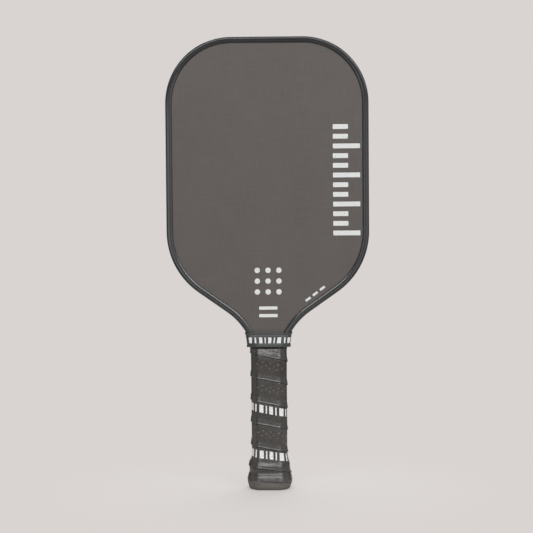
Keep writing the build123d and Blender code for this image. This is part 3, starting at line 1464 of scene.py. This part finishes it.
@dataclass
class ButtCap:
    """Moulded foot, its rim slanted with the first turn of the strip."""

    form: HandleForm
    rim_height: float = 8.6 * MM
    rim_reach: float = 0.1 * MM
    smooth_angle: float = 40.0

    def build(self) -> None:
        """Copy the solid cap, slant its rim, and merge and soften its facets."""
        only(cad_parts["butt_cap"])
        bpy.ops.object.duplicate()
        cap = added("butt_cap_moulding")
        # The copy is a piece of its own, so it drops what marks the node it came from.
        for key in list(cap.keys()):
            del cap[key]
        cap.parent = None
        for point in cap.data.vertices:
            if abs(point.co.z - self.rim_height) < self.rim_reach:
                point.co.z += self.form.rim_slant(point.co.x)
        clean(cap)
        soften(cap, self.smooth_angle)
        keep(cap, "cap_plastic", Finish.CAP, "butt_cap")


@dataclass
class Handle:
    """Everything below the blade: collar, wound strip, butt cap and what they hide."""

    hidden: tuple[tuple[str, Finish], ...] = (
        ("handle_shell_front", Finish.SHELL),
        ("handle_shell_back", Finish.SHELL),
        ("butt_cap_staples", Finish.STEEL),
        ("finishing_tape", Finish.TAPE),
    )

    def build(self) -> None:
        """Make the handle's pieces in order, and dress the nodes inside."""
        form = HandleForm()
        Collar(form).build()
        GripStrip(form).build()
        ButtCap(form).build()
        for node, finish in self.hidden:
            dress(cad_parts[node], finish)


# ---------------------------------------------------------------------------------------- studio
class LampTint(Enum):
    """Colours of the lamps' light."""

    WHITE = (1.0, 1.0, 1.0)
    WARM = (1.0, 0.99, 0.98)
    DAYLIGHT = (0.98, 0.99, 1.0)
    COOL = (0.95, 0.98, 1.0)
    BLUE = (0.93, 0.97, 1.0)


@dataclass(frozen=True)
class Lamp:
    """Soft rectangular lamp. Its power is in watts."""

    name: str
    place: Triple
    size: Pair
    power: float
    tint: LampTint = LampTint.DAYLIGHT

    def hang(self, target: Vector) -> None:
        """Hang the lamp in its place.

        Args:
            target: Point that it is aimed at.
        """
        data = bpy.data.lights.new(self.name, "AREA")
        data.shape = "RECTANGLE"
        data.size, data.size_y = self.size
        data.energy = self.power
        data.color = self.tint.value
        lamp = bpy.data.objects.new(self.name, data)
        bpy.context.scene.collection.objects.link(lamp)
        lamp.location = self.place
        lamp.rotation_mode = "QUATERNION"
        lamp.rotation_quaternion = (target - Vector(self.place)).to_track_quat("-Z", "Y")


@dataclass
class Studio:
    """Pale seamless floor, soft lamps and the camera."""

    lamps: tuple[Lamp, ...] = (
        Lamp("key", (0.0, -1.0, 0.85), (1.4, 0.38), 9.3),
        Lamp("low_left", (-0.38, -1.0, 0.26), (0.54, 0.32), 0.95, LampTint.COOL),
        Lamp("low_right", (0.34, -1.0, 0.26), (0.50, 0.32), 0.55),
        Lamp("low_front", (0.0, -1.0, 0.07), (0.5, 0.12), 0.2),
        Lamp("front_right", (0.85, -0.95, 0.33), (0.7, 0.7), 1.1),
        Lamp("side", (0.9, -1.1, 0.9), (0.6, 0.6), 4.0, LampTint.BLUE),
        Lamp("left", (-1.2, -0.05, 0.35), (1.0, 1.0), 1.2),
        Lamp("right", (1.2, -0.05, 0.35), (1.0, 1.0), 1.2),
        Lamp("top", (0.0, 0.5, 1.6), (1.2, 1.2), 12.0, LampTint.WHITE),
        Lamp("back", (0.3, 1.3, 0.9), (1.4, 0.8), 8.0, LampTint.WARM),
    )
    lamp_target: Triple = (0.0, 0.0, 0.21)

    # The backdrop that the camera sees, and the room's own soft light.
    backdrop: Colour = display(217, 212, 209)
    room_light: Colour = (1.0, 0.985, 0.97, 1.0)
    room_strength: float = 0.12

    # The floor, and how it fades: the distances between which, and the share at the paddle's foot.
    paper: Colour = display(225, 221, 218)
    floor_radius: float = 0.32
    floor_sides: int = 96
    fade_range: Pair = (0.02, 0.22)
    fade_at_foot: float = 0.55

    # The camera, its lens and sensor in millimetres, and its shift in frame widths.
    distance: float = 1.5
    lens: float = 109.0
    sensor: float = 36.0
    swing: float = 1.43
    rise: float = 2.78
    roll: float = -0.46
    shift: Pair = (-0.0032, -0.0050)

    def build(self) -> None:
        """Set up the world, floor, lamps and camera."""
        bpy.context.scene.view_settings.view_transform = "Standard"
        self.world()
        self.floor()
        for lamp in self.lamps:
            lamp.hang(Vector(self.lamp_target))
        self.camera()

    def world(self) -> None:
        """Even soft light, and the pale backdrop where the camera sees past the floor."""
        world = bpy.data.worlds.new("studio_world")
        bpy.context.scene.world = world
        world.use_nodes = True
        sheet = NodeSheet(world.node_tree)
        light = sheet.tree.nodes["Background"]
        sheet.put(light.inputs["Color"], self.room_light)
        sheet.put(light.inputs["Strength"], self.room_strength)
        shown = sheet.node("Background", Color=self.backdrop)
        sheet.mix_shaders(sheet.seen_by_camera(), light.outputs[0], shown.outputs[0], "World Output")

    def floor(self) -> None:
        """Round floor that fades into the backdrop's own colour away from the paddle."""
        bpy.ops.object.select_all(action="DESELECT")
        bpy.ops.mesh.primitive_circle_add(
            vertices=self.floor_sides, radius=self.floor_radius, fill_type="NGON"
        )
        floor = added("studio_floor")
        recipe = Recipe("floor_paper", roughness=0.9, specular=0.1)
        floor.data.materials.append(recipe.finish(self.paper))
        away = recipe.node("VectorMath")
        away.operation = "LENGTH"
        recipe.put(away.inputs[0], recipe.node("TexCoord").outputs["Object"])
        fade = recipe.ramp(away.outputs["Value"], *self.fade_range, self.fade_at_foot)
        share = recipe.times(fade, recipe.seen_by_camera())
        glow = recipe.node("Emission", Color=self.backdrop, Strength=1.0)
        recipe.mix_shaders(share, recipe.surface.outputs[0], glow.outputs[0], "Material Output")

    def camera(self) -> None:
        """Camera in front of the paddle, a little above its middle and to its right."""
        middle = Vector((0.0, 0.0, CAD_BOUNDS[1].z / 2))
        swing = math.radians(self.swing)
        rise = math.radians(self.rise)
        across = math.sin(swing) * math.cos(rise)
        back = Vector((across, -math.cos(swing) * math.cos(rise), math.sin(rise)))
        data = bpy.data.cameras.new("camera")
        data.sensor_width = self.sensor
        data.lens = self.lens
        data.shift_x, data.shift_y = self.shift
        camera = bpy.data.objects.new("camera", data)
        bpy.context.scene.collection.objects.link(camera)
        camera.location = middle + back * self.distance
        camera.rotation_mode = "QUATERNION"
        level = (-back).to_track_quat("-Z", "Y")
        camera.rotation_quaternion = level @ Quaternion((0.0, 0.0, 1.0), math.radians(self.roll))
        bpy.context.scene.camera = camera


def main() -> None:
    """Build the studio and the paddle."""
    Studio().build()
    Blade().build()
    FacePrints().build()
    Handle().build()


if __name__ == "__main__":
    main()
